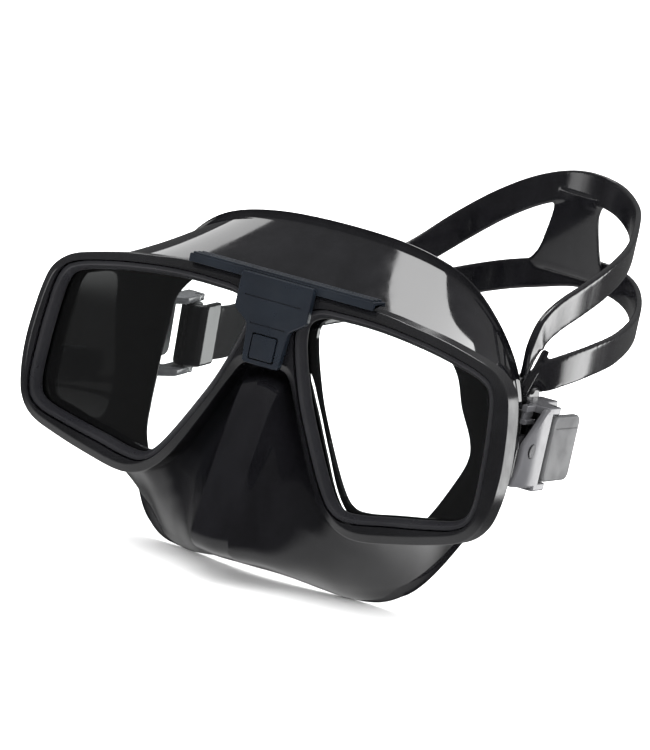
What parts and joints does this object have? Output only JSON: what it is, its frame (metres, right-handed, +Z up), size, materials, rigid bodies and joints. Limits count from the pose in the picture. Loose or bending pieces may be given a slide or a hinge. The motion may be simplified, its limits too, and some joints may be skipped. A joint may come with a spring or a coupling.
{
  "type": "diving mask",
  "caption": "Low-volume diving mask: two glass lenses in a rigid frame, a soft face skirt with a nose pocket, and a split strap on quick-release buckles.",
  "frame": {"origin": "middle of the face seal, where the skirt meets the wearer's face, 44 mm behind the frame's front plane", "axes": "+Z up, +Y backwards into the wearer's head, +X towards the wearer's left"},
  "size_m": [0.1654, 0.2463, 0.1315],
  "materials": {
    "frame_plastic": "gloss black moulded plastic",
    "satin_plastic": "satin black moulded plastic with a fine grain",
    "grey_plastic": "dark grey moulded plastic",
    "silicone": "black silicone, smooth and softly glossy",
    "steel": "stainless steel",
    "lens_glass": "clear tempered glass"
  },
  "bodies": {
    "mask": {"main_frame": "frame_plastic", "lens_left": "lens_glass", "lens_right": "lens_glass", "bezel_left": "satin_plastic", "bezel_right": "satin_plastic", "skirt": "silicone", "bridge_clip": "satin_plastic", "strap_bracket_left": "frame_plastic", "strap_bracket_right": "frame_plastic", "swivel_pin_left": "steel", "swivel_pin_right": "steel"},
    "latch": {"bridge_latch": "frame_plastic"},
    "buckle_left": {"buckle_body_left": "satin_plastic", "roller_axle_left": "steel", "lever_pin_left": "steel", "lever_spring_left": "steel", "strap": "silicone"},
    "buckle_right": {"buckle_body_right": "satin_plastic", "roller_axle_right": "steel", "lever_pin_right": "steel", "lever_spring_right": "steel"},
    "roller_left": {"strap_roller_left": "grey_plastic"},
    "roller_right": {"strap_roller_right": "grey_plastic"},
    "lever_left": {"release_lever_left": "grey_plastic"},
    "lever_right": {"release_lever_right": "grey_plastic"}
  },
  "joints": [
    {"name": "latch_press", "type": "slide", "parent": "mask", "child": "latch", "axis": [0, 1, 0], "range_m": [0, 0.001], "stiffness_N_per_m": 300},
    {"name": "buckle_left_swivel", "type": "hinge", "parent": "mask", "child": "buckle_left", "pos_m": [0.07, 0, 0], "axis": [1, 0, 0], "range_deg": [-15, 5]},
    {"name": "roller_left_spin", "type": "hinge", "parent": "buckle_left", "child": "roller_left", "pos_m": [0.0612, 0.026, 0.0002], "axis": [0, 0, 1], "continuous": true},
    {"name": "lever_left_release", "type": "hinge", "parent": "buckle_left", "child": "lever_left", "pos_m": [0.0712, 0.0144, 0.0002], "axis": [0, 0, -1], "range_deg": [0, 30], "stiffness_Nm_per_rad": 0.06},
    {"name": "buckle_right_swivel", "type": "hinge", "parent": "mask", "child": "buckle_right", "pos_m": [-0.07, 0, 0], "axis": [1, 0, 0], "range_deg": [-15, 5]},
    {"name": "roller_right_spin", "type": "hinge", "parent": "buckle_right", "child": "roller_right", "pos_m": [-0.0612, 0.02584, 0.00292], "axis": [0, -0.1045, 0.9945], "continuous": true},
    {"name": "lever_right_release", "type": "hinge", "parent": "buckle_right", "child": "lever_right", "pos_m": [-0.0712, 0.0143, 0.0017], "axis": [0, -0.1045, 0.9945], "range_deg": [0, 30], "stiffness_Nm_per_rad": 0.06}
  ],
  "couplings": [
    {"joint": "buckle_right_swivel", "follows": "buckle_left_swivel", "ratio": 1}
  ]
}
